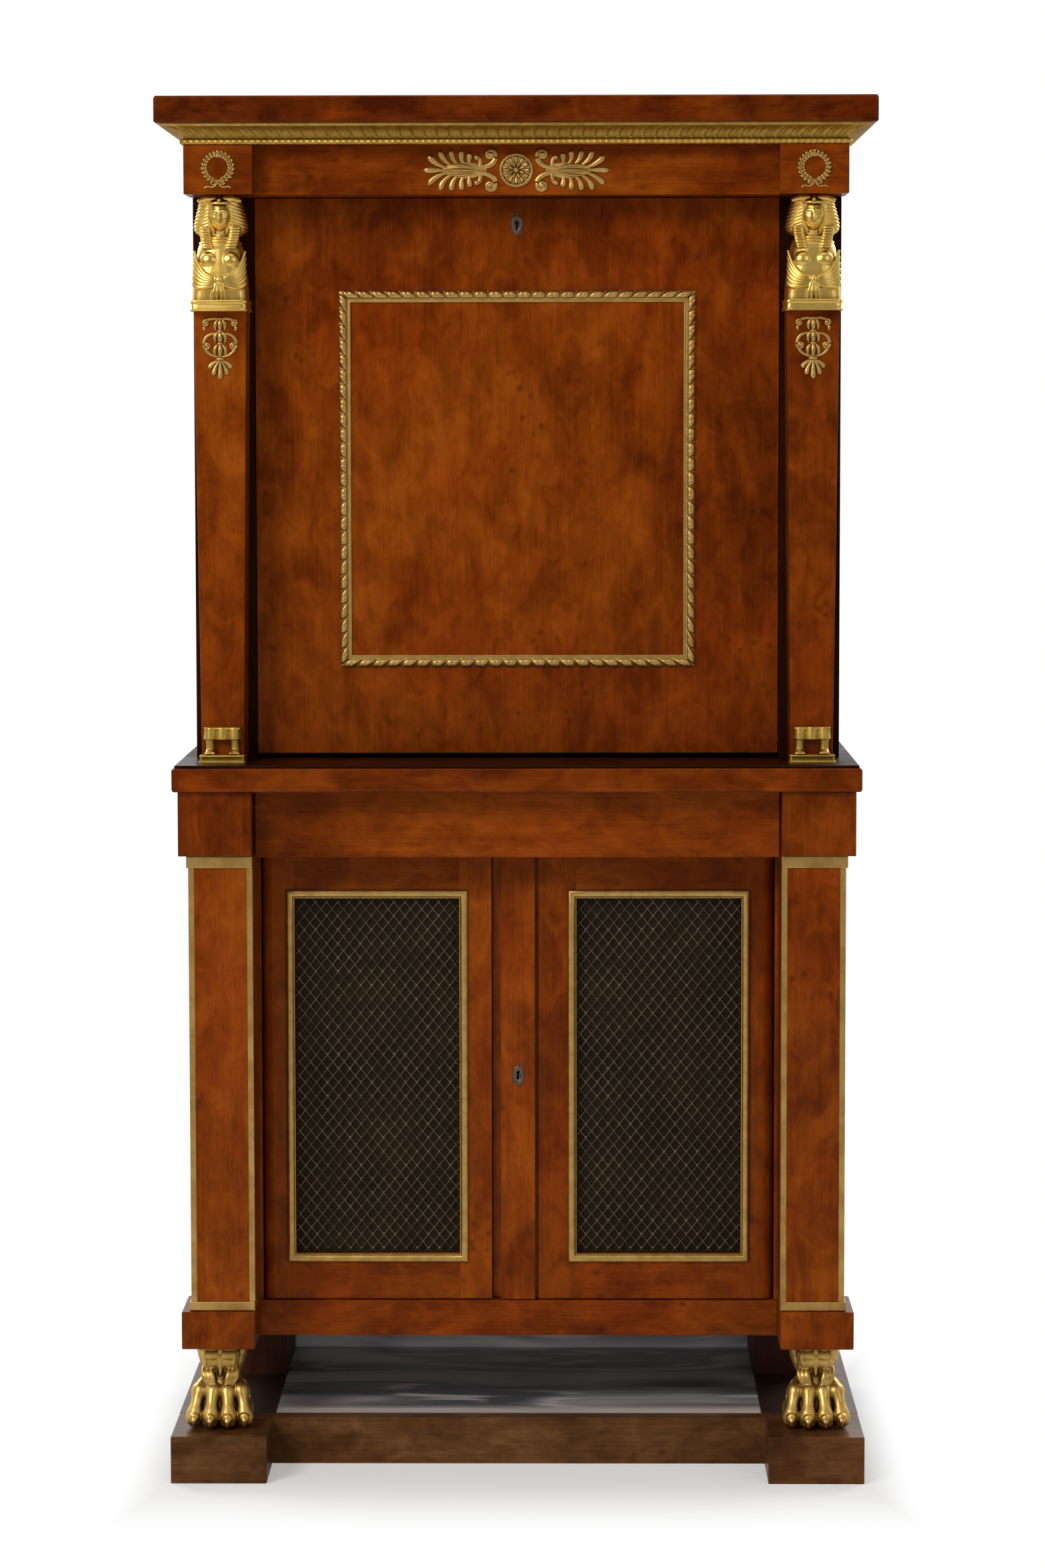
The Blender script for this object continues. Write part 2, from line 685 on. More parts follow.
def tooled_leather(name, box):
    """Dark green skiver with a gilt tooled line and band set in from its edge."""
    t = Tree(name)
    lo, hi = box
    axes = t.axes()
    middle = (lo + hi) / 2
    half = (hi - lo) / 2
    in_x = t.minus(half.x, t.size(t.minus(axes["X"], middle.x)))
    in_z = t.minus(half.z, t.size(t.minus(axes["Z"], middle.z)))
    inset = t.math("MINIMUM", in_x, in_z)
    line = t.span(t.size(t.minus(inset, 0.016)), 0.0012, 0.0007)
    band = t.span(t.size(t.minus(inset, 0.024)), 0.0044, 0.0036)
    along = t.math("SINE", t.times(t.plus(axes["X"], axes["Z"]), 560.0))
    tooling = t.math("MAXIMUM", line, t.times(band, t.span(along, 0.1, 0.5)))
    gold = t.times(tooling, t.span(t.noise(t.spot, 120, 4, 0.6), 0.34, 0.56))
    grain = t.cells(t.spot, 900)
    cloud = t.noise(t.spot, 7, 4, 0.6)
    colour = t.ramp(cloud, (0.3, (0.010, 0.022, 0.012)), (0.7, (0.026, 0.048, 0.027)))
    colour = t.mix(gold, colour, (0.70, 0.46, 0.14))
    rough = t.span(t.sum((cloud, 0.6), (grain, 0.5)), 0.2, 0.8, 0.42, 0.62)
    bump = t.bump(t.sum((grain, 1.0), (gold, -0.6)), 0.25, 0.0005)
    return t.surface(base_color=colour, metallic=gold, roughness=rough, normal=bump, specular_ior_level=0.4)


GILT = gilt("gilt_bronze", (0.84, 0.57, 0.155), (0.72, 0.45, 0.095), (0.100, 0.047, 0.008), 0.27)
PAW_GILT = gilt("worn_gilt", (0.68, 0.445, 0.135), (0.50, 0.30, 0.075), (0.050, 0.024, 0.005), 0.34, 0.009)
PALE_GILT = gilt("pale_gilt", (0.60, 0.376, 0.120), (0.47, 0.277, 0.074), (0.074, 0.035, 0.008), 0.36)
COVE_GILT = gilt("cornice_gilt", (0.60, 0.385, 0.085), (0.45, 0.270, 0.050), (0.080, 0.038, 0.006), 0.38)
BRASS = plain_metal("strip_brass", (0.56, 0.345, 0.110), (0.40, 0.225, 0.065), 0.36)
LOCK_BRASS = plain_metal("lock_brass", (0.50, 0.34, 0.13), (0.30, 0.19, 0.065), 0.38)
LOCK_PLATE = plain_metal("lock_plate_steel", (0.165, 0.125, 0.095), (0.060, 0.044, 0.032), 0.42)
DARK_WIRE = plain_metal("grille_bronze", (0.150, 0.117, 0.074), (0.066, 0.050, 0.031), 0.42)
EBONY = ebonised("ebonised_wood")
PLINTH = veneer("plinth_mahogany", ALONG_X, 57.3, stops=PLINTH_BROWN)
FOOT_TONES = ((0.022, 0.0046, 0.0022), (0.052, 0.0125, 0.0055), (0.100, 0.032, 0.014))
FOOT_WOOD = plain_wood("rear_foot_wood", UPRIGHT, FOOT_TONES, 0.46, 4.2)
INSIDE_TONES = ((0.060, 0.018, 0.0055), (0.140, 0.050, 0.0155), (0.240, 0.100, 0.036))
INSIDE = plain_wood("inside_mahogany", ALONG_X, INSIDE_TONES, 0.40, 1.7)
INSIDE_UPRIGHT = plain_wood("inside_mahogany_upright", UPRIGHT, INSIDE_TONES, 0.40, 2.9)
OAK_TONES = ((0.045, 0.022, 0.0085), (0.120, 0.062, 0.026), (0.215, 0.125, 0.060))
BACKBOARDS = 6
lo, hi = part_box("upper_back")
BACKBOARD = plain_wood("backboard_oak", UPRIGHT, OAK_TONES, 0.58, 6.3, (lo.x, (hi.x - lo.x) / BACKBOARDS))
REAR_FOOT_W = 80 * MM
between_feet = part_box("rear_feet")[1].x - REAR_FOOT_W
slab_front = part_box("platform_slab")[0].y
STONE = streaked_stone("platform_stone", slab_front, border=between_feet)
BACK_STONE = streaked_stone("back_stone", slab_front, 2.2)
SILK = silk_cloth("olive_silk")
LEATHER = tooled_leather("green_leather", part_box("writing_leather"))


# The CAD nodes that show as they are

def finish_nodes(material, *names):
    for name in names:
        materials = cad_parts[name].data.materials
        materials.clear()
        materials.append(material)


UPRIGHT_VENEERED = ("lower_pilaster_left", "lower_pilaster_right", "upper_pilaster_left",
                    "upper_pilaster_right", "lower_side_left", "lower_side_right", "upper_side_left",
                    "upper_side_right", "fall_panel", "meeting_strip", "pilaster_blocks", "door_jambs")
LEVEL_VENEERED = ("cornice_slab", "cornice_core", "upper_frieze", "head_rail", "drawer_front", "ledge_board",
                  "sill_rail", "drawer_divider")
TONES = {"cornice_slab": -0.19, "upper_frieze": -0.02, "pilaster_blocks": -0.10, "ledge_board": -0.10,
         "meeting_strip": 0.02, "lower_pilaster_left": 0.09, "lower_pilaster_right": -0.04,
         "upper_pilaster_left": 0.05, "upper_pilaster_right": -0.04, "sill_rail": -0.03, "fall_panel": -0.03}
DOOR_TONE = -0.02
for nodes, grain, first_seed in ((UPRIGHT_VENEERED, UPRIGHT, 0.9), (LEVEL_VENEERED, ALONG_X, 20.4)):
    for number, node in enumerate(nodes):
        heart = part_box("fall_moulding") if node == "fall_panel" else None
        wood = veneer(f"veneer_{node}", grain, first_seed + number, tone=TONES.get(node, 0.0), heart=heart)
        finish_nodes(wood, node)
for number, side in enumerate(("left", "right")):
    lo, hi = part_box(f"{side}_door_grille")
    reach = sorted((abs(lo.x), abs(hi.x)))
    wood = veneer(f"veneer_{side}_door", UPRIGHT, 40.6 + number, (*reach, lo.z, hi.z), DOOR_TONE)
    finish_nodes(wood, f"{side}_door_frame")
finish_nodes(EBONY, "upper_stiles", "ledge_top")
finish_nodes(PLINTH, "plinth_frame", "platform_board")
finish_nodes(FOOT_WOOD, "rear_feet")
finish_nodes(STONE, "platform_slab")
finish_nodes(INSIDE, "cupboard_floor", "cupboard_shelf", "interior_floor", "drawer_box")
finish_nodes(INSIDE_UPRIGHT, "side_linings", "pigeonhole_nest")
finish_nodes(BRASS, "pilaster_brass")
finish_nodes(LOCK_BRASS, "hinge_pins", "fall_bolt", "door_bolt", "flush_bolt", "flush_bolt_plate")
finish_nodes(LOCK_PLATE, "fall_lock", "door_lock")
finish_nodes(LEATHER, "writing_leather")


# Busts on the upper pilasters

FIGURE_LIFT = 25.0
FIGURE_TOP = 96.0
HEAD_RADII = (13.2, 15.4, 18.6)
HEAD_CENTRE = (0.0, 28.5, 75.5)
# Height, half width, front and back of the torso and of the headcloth, and how square the torso is
TORSO = ((-14, 29.0, 7.0, 56, 6.0), (-2, 28.8, 7.2, 56, 5.2), (8, 28.2, 7.8, 55, 4.2),
         (16, 27.2, 8.8, 55, 3.4), (28, 25.8, 11, 54, 2.7), (40, 24.0, 14, 53, 2.4), (48, 21.0, 18, 50, 2.4),
         (53, 15.0, 22, 46, 2.4), (57, 9.5, 24, 42, 2.4))
HOOD = ((52, 17.0, 26, 48), (54.5, 22.6, 25, 52), (58, 27.0, 24, 55), (63, 28.4, 23, 56),
        (70, 27.2, 21.5, 57), (77, 25.4, 19.8, 57.5), (84, 23.4, 18.4, 57), (89, 22.2, 17.6, 56),
        (92.8, 20.4, 18.2, 54), (95, 17, 20, 51), (FIGURE_TOP, 13, 23, 48))
PLEAT = 3.4
# Features of a calm, even face: rise, place and width aside, place and width upwards. They are the eye
# sockets, eyelids, brows, cheeks, upper lip, lower lip, mouth line and chin
FACE = ((-1.7, 4.9, 2.7, 0.6, 2.2), (1.2, 5.0, 1.9, 0.5, 1.05), (0.9, 5.0, 3.6, 3.9, 1.1),
        (0.7, 6.8, 3.0, -5.0, 4.0), (1.2, 0, 3.1, -10.5, 0.9), (1.3, 0, 2.6, -12.6, 1.0),
        (-0.8, 0, 3.4, -11.5, 0.45), (1.7, 0, 3.6, -15.4, 2.2))
# Half width, depth and height of the collar's rows
COLLAR = ((15.6, 12.5, 52.6), (19.0, 14.6, 49.6), (21.6, 16.6, 46.4))
# Height, half width and inset of the square base
BUST_BASE = ((0, 30.5, 0), (1.6, 30.5, 0), (2.6, 29.6, 0.9), (7.4, 29.2, 1.3), (8.4, 30.0, 0.5),
             (10.8, 30.0, 0.5), (11.6, 29.4, 1.1), (12.0, 28.6, 1.9))
BUST_BASE_D = 74
# How square a base with hardly rounded corners is
BASE_SQUARE = 14.0


def between_rows(sections, count):
    """Rows between the given ones, evenly by height."""
    rows = []
    for i in range(count):
        z = sections[0][0] + (sections[-1][0] - sections[0][0]) * i / (count - 1)
        k = max(j for j in range(len(sections) - 1) if sections[j][0] <= z + 1e-9)
        low, high = sections[k], sections[k + 1]
        t = (z - low[0]) / (high[0] - low[0])
        rows.append([a + (b - a) * t for a, b in zip(low, high)])
    return rows


def face_rise(x, z):
    """How far the face stands out from a plain egg, by its place across and up from the middle."""
    side = abs(x)
    nose_fall = min(max((5.0 - z) / 11.5, 0.0), 1.0)
    nose_end = 1 / (1 + exp(-(z + 8.2) * 2.2))
    total = (0.5 + 3.3 * nose_fall) * hump(x, 0, 1.5 + 0.9 * nose_fall) * nose_end * (z < 9)
    for rise, aside, wide, up, tall in FACE:
        total += rise * hump(side, aside, wide) * hump(z, up, tall)
    return total


def head():
    """An egg with a narrower jaw, and the face on its front."""
    loops = []
    for lat in latitudes(44):
        jaw = 1 - 0.24 * min(max(-sin(lat) - 0.1, 0.0) / 0.9, 1.0)
        loop = []
        for a in full_turn(60):
            x = HEAD_RADII[0] * jaw * cos(lat) * sin(a)
            y = -HEAD_RADII[1] * cos(lat) * cos(a)
            z = HEAD_RADII[2] * sin(lat)
            if y < 0:
                y -= face_rise(x, z) * min(-y / 5.0, 1.0)
            loop.append((HEAD_CENTRE[0] + x, HEAD_CENTRE[1] + y, HEAD_CENTRE[2] + z))
        loops.append(loop)
    return skin(loops)


def hood():
    """The headcloth, pleated on both sides of the face."""
    loops = []
    for z, half, y0, y1 in between_rows(HOOD, 110):
        middle = (y0 + y1) / 2
        loop = []
        for x, y, _ in oval(z, half, y0, y1, 3.4, 110):
            beside = min(max((abs(x) - 10.0) / 4.0, 0.0), 1.0)
            fold = 0.62 * beside * sin(2 * pi * (z + 0.34 * abs(x)) / PLEAT)
            reach = hypot(x, y - middle)
            loop.append((x + x / reach * fold, y + (y - middle) / reach * fold, z))
        loops.append(loop)
    return skin(loops)


def lappet():
    """The right flat, ribbed end of the headcloth, lying on the chest."""
    line = bend((15.8, 23.0, 63), (15.2, 20.0, 52), (11.8, 12.4, 40), 56)
    rings = []
    for i, (x, y, z) in enumerate(line):
        rib = 0.5 * sin(2 * pi * i / len(line) * 8)
        half = [(2.6, -0.5 - rib), (5.2, 0.2 - rib), (5.9, 1.2), (5.4, 10.0)]
        section = [(-dx, dy) for dx, dy in reversed(half)] + half
        rings.append([(x + dx, y + dy, z) for dx, dy in section])
    return skin(rings)


def round_front(half_w, middle, deep, z, limit, step, dip=0.0):
    """A line round the front of the figure, between two angles in degrees; dip lowers it in front."""
    angles = [radians(d) for d in range(-limit, limit + 1, step)]
    return [(half_w * sin(a), middle - deep * cos(a), z - dip * cos(a)) for a in angles]


def bust():
    """A herm bust with a pleated headcloth, a broad collar and a knotted mantle, on a square base."""
    clay = Shell()
    clay.add(skin([oval(*section) for section in TORSO]))
    clay.add(tube([(0, 31, 46), (0, 30, 56), (0, 28, 65)], (8.6, 7.8, 8.4)))
    clay.add(head())
    clay.add(hood())
    clay.add(tube(round_front(13.7, 28.5, 15.2, 87.6, 76, 8), 1.7, 10))
    clay.add(tube([(0, 14.6, 88), (0, 14.0, 91), (0, 16.4, 94.6)], (2.0, 2.4, 1.3)))
    clay.add_both(tube([(5.0, 19.0, 92.6), (13.0, 18.4, 92.6), (20.6, 22.0, 90.2)], (3.4, 4.0, 3.0)))
    clay.add_both(lappet())
    clay.add_both(ball((10.8, 15.9, 27.2), (10.0, 6.8, 9.8), 28, 18))
    for half_w, deep, z in COLLAR:
        clay.add(tube(round_front(half_w, 33, deep, z, 84, 7, 1.2), 1.25, 8))
    clay.add(ball((0, 6.4, 7.0), (4.6, 3.6, 5.0), 20, 12))
    for k in range(6):
        fold = bend((1.5, 7.2, 10.0 - 1.4 * k), (20.0 + 1.2 * k, 6.6, 8.0 - 2.6 * k),
                    (26.6 + 0.2 * k, 21.0 - 1.4 * k, 37.0 - 6.4 * k), 16)
        clay.add_both(tube(fold, swell(1.2, 1.2, 0.12, 0.80, 16), 10))
    for x in (2.4, 7.0):
        clay.add_both(tube([(0.4 * x, 6.2, 4.0), (0.8 * x, 6.0, -5.0), (x, 6.4, -15.0)], (1.5, 1.9, 2.1), 10))
    clay.points = [(x, y, min(z, FIGURE_TOP) + FIGURE_LIFT) for x, y, z in clay.points]
    whole = fused(clay, 0.48, 2, 0.4)
    return whole.add(skin([oval(z, half, inset, BUST_BASE_D - inset, BASE_SQUARE, 56)
                           for z, half, inset in BUST_BASE]))


lo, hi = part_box("bust_right")
axis_x = (lo.x + hi.x) / 2
gilt_pairs((bust(), "gilt_bust", (axis_x, lo.y, lo.z), GILT, "bust_{}"))


# Paw feet

PAW_TOP = 86.0
# Height, half width, front and back of the leg, and of the rim on top
PAW_LEG = ((0, 27, 30, 82), (10, 31, 24, 85), (20, 31.5, 22, 86), (30, 28.5, 25, 85), (40, 23.5, 29.5, 82),
           (48, 19.5, 33.5, 78), (54, 18.0, 35, 76), (84, 18.0, 35, 76))
PAW_RIM = ((82.4, 24.6, 29.0, 81.0), (83.4, 26.4, 27.2, 82.8), (PAW_TOP, 26.8, 26.8, 83.2))
# Distance from the leg's axis, height, half width and half height of the balls that make a petal
PETAL = ((15.2, 75.5, 12.2, 10.8), (14.4, 69, 11.2, 13), (12.6, 62, 9.0, 14))
PETAL_RIB = ((25.8, 83), (27.3, 76), (25.8, 68), (21.6, 58), (17.4, 49))
# Height, half width and half height of the balls that make the bud in front
BUD = ((80, 3.0, 4.0), (71, 3.6, 8.0), (60, 2.8, 9.0))
LEG_AXIS_Y = 55


def toe(offset, back):
    """A knuckled toe on the right, with its pad and claw."""
    steps = 20
    line = bend((0.6 * offset, 48, 46), (0.92 * offset, 20 + back, 37), (offset, 15.5 + back, 10), steps)
    along = [i / (steps - 1) for i in range(steps)]
    girth = [6.5 + 3.2 * hump(t, 0.38, 0.15) + 3.3 * ease(t, 0.68, 0.94) for t in along]
    claw = [(offset, 6.4 + back, 12), (offset, 3.6 + back, 9.2), (offset, 3.2 + back, 5.0)]
    pad = ball((offset, 7.0 + back, 12.6), (5.6, 4.2, 5.4), 20, 12)
    return tube(line, girth, 24), pad, tube(claw, (3.6, 3.0, 1.3))


def paw():
    """A lion's paw that grows out of a cup of petals: origin at the toes' front, on the plinth."""
    clay = Shell()

    def flutes(a):
        return 1 + 0.022 * cos(13 * a + pi / 2)

    clay.add(skin([oval(*section, sides=104, lobes=flutes) for section in PAW_LEG]))
    for degrees in range(36, 360, 72):
        a = radians(degrees)
        for reach, z, wide, tall in PETAL:
            centre = (reach * sin(a), LEG_AXIS_Y - 1.09 * reach * cos(a), z)
            clay.add(ball(centre, (wide, wide, tall), 32, 20))
        rib = [(r * sin(a), LEG_AXIS_Y - 1.07 * r * cos(a), z) for r, z in PETAL_RIB]
        clay.add(tube(rib, (0.6, 1.2, 1.4, 1.2, 0.6), 10))
    for z, wide, tall in BUD:
        clay.add(ball((0, 35.0, z), (wide, 3.6, tall), 16, 10))
    clay.add(skin([oval(*section, power=2.8, sides=72) for section in PAW_RIM]))
    for offset, back in ((9.2, 0), (26.6, 6)):
        for part in toe(offset, back):
            clay.add_both(part)
    clay.add_both(ball((27.0, 52, 13), (7.6, 17, 13), 24, 16))
    clay.add_both(tube([(23, 52, 44), (26.5, 49, 35), (28.5, 46, 28)], (2.4, 4.2, 3.2), 16))
    for k in range(3):
        tuft = bend((17.5 - 4 * k, 40 - 3 * k, 62 - k), (19 - 5 * k, 30 - k, 54 - k),
                    (13 - 4 * k, 30 - k, 43 - k), 10)
        clay.add_both(tube(tuft, swell(1.0, 2.2, 0.15, 0.8, 10), 10))
    clay.points = [(x, max(y, 0.0), min(max(z, 0.0), PAW_TOP)) for x, y, z in clay.points]
    return fused(clay, 0.7, 3, 0.45)


lo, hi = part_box("paw_foot_right")
gilt_pairs((paw(), "gilt_paw", ((lo.x + hi.x) / 2, lo.y, lo.z), PAW_GILT, "paw_foot_{}"))


# Small feet at the foot of the upper pilasters

FEET_APART = 13.0
FEET_BACK = 18.0
FEET_TOP = 37.0
# Distance from the front, half width and height of a bare foot
SOLE = ((17, 4.4, 6.6), (13.5, 5.2, 9.4), (10.5, 5.2, 7.8), (7.5, 5.6, 5.4), (5, 5.8, 4.0), (3.6, 5.4, 2.8))
# Height, half width and front of the belt, and height, half width and inset of the base
FEET_BELT = ((34.2, 19.0, 8.2), (34.8, 19.4, 7.6), (36.4, 19.4, 7.6), (FEET_TOP, 19.0, 8.0))
FEET_BASE = ((0, 24.5, 0), (1.4, 24.5, 0), (2.2, 23.6, 0.9), (6.2, 23.4, 1.1), (7.0, 24.0, 0.5),
             (8.2, 23.4, 1.1))


def hem():
    """The folded hem of the dress over the two feet."""
    rings = []
    for i in range(24):
        share = i / 23
        half = 20.2 - 1.2 * share
        z = 24.4 + 12.6 * share
        front = []
        for j in range(81):
            x = half * (j / 40 - 1)
            fold = abs(cos(pi * x / FEET_APART)) ** 0.8
            y = 10.0 - (1.0 + 3.4 * fold) * (1 - 0.3 * share) + 5.0 * abs(x / half) ** 12
            front.append((x, y, z))
        rings.append(front + [(half, 20, z), (-half, 20, z)])
    return skin(rings)


def foot_pair():
    """Two bare feet under a pleated hem, on a little base: origin at the front of the base."""
    clay = Shell()
    x = FEET_APART
    clay.add_both(skin([[(x + half * cos(a), y, 8.0 + rise * sin(a) ** 0.8) for a in half_turn(24)]
                        for y, half, rise in SOLE]))
    clay.add_both(tube([(x, 13.6, 12), (x, 13.4, 19), (x, 13.4, 27)], (4.8, 4.4, 5.2), 20))
    for k in range(5):
        big = 1.25 if k == 0 else 1.0 - 0.05 * k
        tip = (x - 4.3 + 2.2 * k, 3.6 + 0.5 * k, 9.7)
        clay.add_both(ball(tip, (1.4 * big, 2.6 * big, 1.75 * big), 14, 9))
    clay.add(hem())
    clay.add(skin([oval(z, half, front, 20, 5.0, 60) for z, half, front in FEET_BELT]))
    clay.points = [(x, min(max(y, 0.0), FEET_BACK), min(z, FEET_TOP)) for x, y, z in clay.points]
    whole = fused(clay, 0.5, 1, 0.5)
    return whole.add(skin([oval(z, half, inset, FEET_BACK, BASE_SQUARE, 56) for z, half, inset in FEET_BASE]))


lo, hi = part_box("foot_mounts")
gilt_pairs((foot_pair(), "gilt_feet", (axis_x, lo.y, lo.z), COVE_GILT, "foot_mounts"))


# Wreaths and pendants

WREATH_R = 13.6
WREATH_PAIRS = 11


def wreath():
    """A laurel wreath with berries, tied with a ribbon: origin at its middle, on the face."""
    shell = Shell()
    shell.add(stroke(circle(WREATH_R, 48), 1.5, 1.7, loop=True))
    for side in (-1, 1):
        for k in range(WREATH_PAIRS):
            a = radians(-90 + side * (10 + 160 * k / (WREATH_PAIRS - 1)))
            along = a + side * pi / 2
            x, z = polar(WREATH_R, a)
            for spread, reach in ((0.62, 6.6), (-0.62, 5.8), (0.0, 6.2)):
                d = along - spread * side
                curl = d + 0.3 * spread
                tip = (x + reach * cos(d), z + reach * sin(d))
                lean = (x + 0.6 * reach * cos(curl), z + 0.6 * reach * sin(curl))
                shell.add(point_leaf((x, z), lean, tip, 1.75, 2.5 if spread else 3.0))
            shell.add(ball((x * 1.16, -1.5, z * 1.16), (0.9, 1.1, 0.9), 10, 7))
    loop = bend((0, -15.0), (7.5, -12.2), (7.2, -16.6), 9)
    loop += bend(loop[-1], (5.0, -18.6), (0.5, -15.6), 9)[1:]
    shell.add_both(stroke(loop, 1.0, 1.9))
    tail = bend((0.5, -15.6), (3.5, -21.5), (9.5, -19.6), 8)
    tail += bend(tail[-1], (12.0, -19.0), (13.5, -21.4), 6)[1:]
    shell.add_both(stroke(tail, 1.15, 1.5))
    shell.add(ball((0, -0.6, -15.2), (2.0, 2.4, 1.9), 14, 9))
    return shell


def pendant():
    """A hanging mount: bellflowers on a stem, ribbon scrolls and a leafy drop: origin at its top."""
    shell = Shell()
    shell.add(stroke([(0, -1.0 - 45.0 * i / 12) for i in range(13)], 2.4, 1.8))
    for top, long, wide in ((-1.2, 14, 3.8), (-14.2, 14, 4.2), (-27.2, 15, 4.4)):
        shell.add(ball((0, -0.9, top - 0.5), (3.6, 2.2, 1.5), 14, 8))
        tip = (wide * 1.05, top - 0.95 * long)
        shell.add_both(point_leaf((0.8, top), (wide * 1.9, top - 0.4 * long), tip, 2.5, 2.3))
        shell.add(point_leaf((0, top), (0, top - 0.5 * long), (0, top - long), 3.2, 3.3))
    shell.add_both(stroke(bend((1.5, -2.4), (8, -0.4), (13.4, -3.2), 10), 1.7, 1.8))
    shell.add_both(stroke(spiral((14.6, -6.2), 3.2, 1.0, 100, -400), 1.8, 2.3))
    shell.add_both(ball((14.6, -1.4, -6.2), (1.9, 2.2, 1.9), 14, 9))
    shell.add_both(point_leaf((15.4, -8.6), (17.6, -11.6), (15.6, -15.0), 2.1, 2.4))
    arm = bend((1.5, -17.5), (15.5, -15.5), (17.0, -27.5), 14)
    shell.add_both(stroke(arm, steps_from(1.6, 0.05, 14), 1.9))
    shell.add_both(stroke(spiral((13.6, -29.6), 3.8, 1.1, 15, -410), 1.95, 2.5))
    shell.add_both(ball((13.6, -1.4, -29.6), (2.1, 2.4, 2.1), 14, 9))
    shell.add_both(stroke(bend((15.4, -33.4), (11.5, -40.0), (2.0, -41.5)), steps_from(1.9, -0.04, 12), 1.9))
    for lean, tip in (((9.5, -47.5), (11.6, -54.0)), ((6.6, -53.5), (7.2, -61.0))):
        shell.add_both(club_leaf((0.8, -45.0), lean, tip, 2.9, 2.7))
    shell.add(ball((0, -0.8, -43.6), (5.2, 2.7, 2.0), 16, 9))
    return shell.add(club_leaf((0, -45.0), (0, -55.0), (0, -65.2), 3.3, 3.1))


WREATH_LIFT = 2 * MM
PENDANT_DROP = 6 * MM
lo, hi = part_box("upper_frieze")
wreath_at = (axis_x, lo.y, (lo.z + hi.z) / 2 + WREATH_LIFT)
lo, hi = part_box("upper_pilaster_right")
pendant_at = (axis_x, lo.y, hi.z - PENDANT_DROP)
gilt_pairs((wreath(), "wreath", wreath_at, PALE_GILT, None),
           (pendant(), "pendant", pendant_at, PALE_GILT, "pilaster_mounts"))


# Rosette and palmettes on the frieze

ROSETTE_R = 16.2
# Count, inner and outer reach, half width and height of the outer and inner petals
ROSETTE_PETALS = ((12, 4.0, 14.6, 2.5, 3.2), (8, 2.0, 9.0, 2.3, 4.6))
# Root, lean and tip of the leaves on one side of a palmette
PALMETTE_LEAVES = (((70, 2.0), (84, 4.5), (92.5, 15.4)), ((66, 4.0), (78, 9.5), (79.8, 21.0)),
                   ((60, 5.0), (68.5, 11.0), (68.0, 21.6)), ((54, 5.4), (59.8, 12.0), (56.4, 21.0)),
                   ((48, 5.0), (51.0, 11.0), (47.4, 17.8)))


def rosette():
    """A round flower with a bossed heart: origin at its middle, on the face."""
    shell = Shell()
    shell.add(stroke(circle(8.5, 40), 8.4, 1.5, loop=True))
    shell.add(stroke(circle(ROSETTE_R, 64), 2.1, 2.5, loop=True))
    for layer, (count, start, reach, wide, high) in enumerate(ROSETTE_PETALS):
        for i in range(count):
            a = 2 * pi * (i + 0.5 * layer) / count
            root, middle, tip = [polar(r, a) for r in (start, (start + reach) / 2, reach)]
            shell.add(club_leaf(root, middle, tip, wide, high))
    shell.add(ball((0, -2.2, 0), (3.3, 3.8, 3.3), 20, 12))
    for x, z in circle(ROSETTE_R, 32):
        shell.add(ball((x, -2.2, z), (1.1, 1.0, 1.1), 8, 6))
    return shell


def palmette():
    """A palmette that lies along the frieze, rising from two scrolls: origin at the rosette's middle."""
    shell = Shell()
    spine = [(31 + 46 * i / 15, 0.0) for i in range(16)]
    shell.add(stroke(spine, swell(2.6, 6.6, 0.10, 0.84, 16), swell(1.5, 1.0, 0.0, 1.0, 16), steps=12))
    shell.add(point_leaf((40, 0), (58, 0), (78, 0), 2.6, 4.0))
    shell.add_both(point_leaf((42, 1.5), (54, 6.5), (72, 5.4), 2.2, 3.4), UP)
    shell.add_both(stroke(bend((44, 2.4), (25, 2.2), (21.8, 12.0)), steps_from(2.8, 0.06, 12), 2.4), UP)
    volute = spiral((27.0, 16.0), 5.2, 1.6, 205, -430, 26)
    shell.add_both(stroke(volute, steps_from(3.3, -0.03, 26), steps_from(2.5, 0.05, 26)), UP)
    shell.add_both(ball((27.4, -1.8, 16.2), (2.8, 2.6, 2.8), 16, 10), UP)
    hook = bend((38, 3.0), (36.5, 11.0), (40.5, 13.4), 10)
    shell.add_both(stroke(hook, steps_from(2.9, -0.05, 10), 2.3), UP)
    shell.add_both(ball((41.4, -1.0, 13.2), (3.0, 2.4, 3.0), 14, 9), UP)
    for root, lean, tip in PALMETTE_LEAVES:
        shell.add_both(club_leaf(root, lean, tip, 3.5, 3.0), UP)
    return shell.add(club_leaf((72, 0), (85, 0), (97.4, 0), 3.5, 3.0))


lo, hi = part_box("frieze_mount")
at = (0.0, hi.y, (lo.z + hi.z) / 2)
piece(rosette(), "frieze_rosette", at, ROOT, "gilt", PALE_GILT, "frieze_mount")
gilt_pairs((palmette(), "frieze_palmette", at, PALE_GILT, None))


# Steel surrounds of the keyholes

def escutcheon():
    """A low domed oval rim round the lock's plate, with a bead above and below: origin at its middle."""
    angles = full_turn(60)
    rim = [(4.5 * cos(a), 7.6 * sin(a)) for a in angles]
    shell = Shell().add(stroke(rim, [1.8 + sin(a) ** 2 for a in angles], 1.1, loop=True))
    return shell.add_both(ball((0, -0.2, 11.2), (1.3, 0.9, 1.5), 12, 8), UP)


# Body, lock, the node whose face it lies on, and how far below the lock's middle its plate is
KEYHOLES = (("fall", "fall_lock", "fall_panel", 2.8 * MM), ("right_door", "door_lock", "meeting_strip", 0.0))
keyhole_shell = escutcheon()
for body, lock, face, drop in KEYHOLES:
    lo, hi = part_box(lock)
    at = ((lo.x + hi.x) / 2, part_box(face)[0].y, (lo.z + hi.z) / 2 - drop)
    piece(keyhole_shell, f"{body}_escutcheon", at, body, "brass", LOCK_PLATE)


# Mouldings

